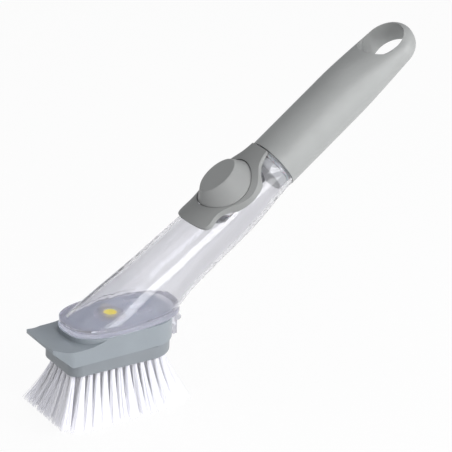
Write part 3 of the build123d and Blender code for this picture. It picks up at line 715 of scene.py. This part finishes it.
def tuft_plate():
    """The plate with a collar round every tuft, as one object."""
    outline = plate_outline(PLATE_INSET)
    low = block_low.z
    high = low + PLATE_THICKNESS
    count = len(outline)
    points = [(x, y, low) for x, y in outline] + [(x, y, high) for x, y in outline]
    faces = [tuple(range(count))[::-1], tuple(range(count, 2 * count))]
    faces += [(i, (i + 1) % count, count + (i + 1) % count, count + i) for i in range(count)]
    collar_rings = ((COLLAR_RADIUS + COLLAR_HEIGHT, low),
                    (COLLAR_RADIUS, low - COLLAR_HEIGHT),
                    (TUFT_RADIUS * HOLE_RIM_SHARE, low - COLLAR_HEIGHT),
                    (TUFT_RADIUS * HOLE_FOOT_SHARE, low))
    for root_x, root_y in tufts:
        base = len(points)
        for radius, z in collar_rings:
            for step in range(COLLAR_STEPS):
                turn = 2 * math.pi * step / COLLAR_STEPS
                points.append((root_x + radius * math.cos(turn),
                               root_y + radius * math.sin(turn), z))
        for ring in range(len(collar_rings) - 1):
            for step in range(COLLAR_STEPS):
                following = (step + 1) % COLLAR_STEPS
                a = base + ring * COLLAR_STEPS
                b = a + COLLAR_STEPS
                faces.append((a + step, b + step, b + following, a + following))
    mesh = bpy.data.meshes.new("tuft_plate")
    mesh.from_pydata(points, [], faces)
    mesh.update()
    plate = bpy.data.objects.new("tuft_plate", mesh)
    bpy.context.scene.collection.objects.link(plate)
    return plate


plate = tuft_plate()
plate.data.materials.append(block_finish)
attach(plate, "head")
print("plate faces", len(plate.data.polygons))

# %% [markdown]
# ## Floor, backdrop and light
#
# The photograph has a white ground and a large soft light on the right, with the left side
# of each form falling off. The floor's own colour is pale. What the camera sees of it, and
# what plastic reflects or lets through of it, is lifted almost to white. So the lamps can
# stay at a level that keeps the greys true, and the part that isn't lifted still shows the
# object's shadow.

# %% Studio floor
FLOOR_REACH = 3.0
FLOOR_PALE = (0.90, 0.90, 0.90)
FLOOR_ROUGHNESS = 0.9
FLOOR_LIFT = 0.93
PURE_WHITE = (1.0, 1.0, 1.0)


def combine(material, operation, first, second):
    """A math operation on two sockets, or on a socket and a number."""
    made = node(material, "ShaderNodeMath", operation=operation)
    for socket, value in zip(made.inputs, (first, second)):
        if isinstance(value, float):
            socket.default_value = value
        else:
            link(material, value, socket)
    return made.outputs["Value"]


def studio_floor():
    """A wide pale floor that looks white and still takes a shadow."""
    bpy.ops.mesh.primitive_plane_add(size=2 * FLOOR_REACH)
    floor = bpy.context.object
    floor.name = "studio_floor"
    material, shader = new_material("pale_floor")
    shader.inputs["Base Color"].default_value = (*FLOOR_PALE, 1)
    shader.inputs["Roughness"].default_value = FLOOR_ROUGHNESS
    rays = node(material, "ShaderNodeLightPath").outputs
    seen = combine(material, "MAXIMUM", rays["Is Camera Ray"], rays["Is Transmission Ray"])
    seen = combine(material, "MAXIMUM", seen, rays["Is Glossy Ray"])
    lift = combine(material, "MULTIPLY", seen, FLOOR_LIFT)
    to_surface(material, blend(material, lift, shader.outputs["BSDF"],
                               flat_shader(material, "ShaderNodeEmission", PURE_WHITE)))
    floor.data.materials.append(material)


studio_floor()

# %% [markdown]
# The sky is white for the camera and through the clear plastic, and dimmer for the light
# that it gives, which is what keeps the shaded sides of the greys darker than the lit ones.

# %% Sky
SKY_COLOUR = (0.97, 0.98, 1.0)
SKY_LEVEL = 0.36
SKY_SEEN_LEVEL = 1.0

world = bpy.data.worlds.new("studio_sky")
world.use_nodes = True
bpy.context.scene.world = world
background = world.node_tree.nodes["Background"]
background.inputs["Color"].default_value = (*SKY_COLOUR, 1)
background.inputs["Strength"].default_value = SKY_LEVEL
sky_seen = node(world, "ShaderNodeBackground")
sky_seen.inputs["Color"].default_value = (*PURE_WHITE, 1)
sky_seen.inputs["Strength"].default_value = SKY_SEEN_LEVEL
rays = node(world, "ShaderNodeLightPath").outputs
either = combine(world, "MAXIMUM", rays["Is Camera Ray"], rays["Is Transmission Ray"])
link(world, blend(world, either, background.outputs["Background"],
                  sky_seen.outputs["Background"]),
     world.node_tree.nodes["World Output"].inputs["Surface"])

# %% [markdown]
# A softbox is an area lamp aimed at the middle of the object. Its place is given as a
# photographer behind the camera would say it: so far to the right, so far up, and so far
# towards the camera, in metres from that middle.

# %% Softboxes
middle = (cad_bounds[0] + cad_bounds[1]) / 2
toward_camera = Vector((-view.x, -view.y, 0)).normalized()


def studio_offset(to_right, upward, to_camera):
    """A place round the object, as an offset from its middle."""
    return level_right * to_right + Vector((0, 0, upward)) + toward_camera * to_camera


SOFTBOXES = {
    # name: to the right, up, towards the camera, width, height in metres, power in watts
    "key_softbox": (1.15, 0.25, 0.30, 0.8, 0.8, 9),
    "front_strip": (0.62, 0.35, 0.85, 0.30, 0.9, 4.6),
    "fill_softbox": (-0.5, 0.7, 1.1, 0.8, 0.8, 2.5),
    "top_softbox": (0.2, 1.3, -0.3, 0.9, 0.9, 4.0),
}
for name, (to_right, upward, to_camera, width, height, power) in SOFTBOXES.items():
    lamp = bpy.data.lights.new(name, "AREA")
    lamp.shape = "RECTANGLE"
    lamp.size = width
    lamp.size_y = height
    lamp.energy = power
    holder = bpy.data.objects.new(name, lamp)
    offset = studio_offset(to_right, upward, to_camera)
    holder.location = middle + offset
    holder.rotation_euler = (-offset).to_track_quat("-Z", "Y").to_euler()
    bpy.context.scene.collection.objects.link(holder)

# %% [markdown]
# Clear plastic on a white ground would hardly show. A photographer stands dark cards just
# outside the picture: the edges of the plastic bend them into view as thin dark lines. The
# cards are seen through the plastic alone and shade nothing.

# %% Dark cards for the clear plastic
CARD_TONE = (0.03, 0.03, 0.03)
DARK_CARDS = {
    # name: to the right, up, towards the camera, width, height in metres
    "left_card": (-0.34, 0.15, -0.25, 0.22, 0.7),
    "right_card": (0.34, 0.15, -0.25, 0.22, 0.7),
    "high_card": (0.0, 0.55, -0.30, 0.7, 0.3),
}
for name, (to_right, upward, to_camera, width, height) in DARK_CARDS.items():
    bpy.ops.mesh.primitive_plane_add(size=1)
    card = bpy.context.object
    card.name = name
    card.scale = (width, height, 1)
    offset = studio_offset(to_right, upward, to_camera)
    card.location = middle + offset
    card.rotation_euler = (-offset).to_track_quat("Z", "Y").to_euler()
    material, shader = new_material(name)
    shader.inputs["Base Color"].default_value = (*CARD_TONE, 1)
    card.data.materials.append(material)
    card.visible_camera = False
    card.visible_diffuse = False
    card.visible_glossy = False
    card.visible_shadow = False

# %% [markdown]
# ## Finish
#
# The colour management is the plain one, so that a colour renders as it is written.

# %% Colour management
bpy.context.scene.view_settings.view_transform = "Standard"
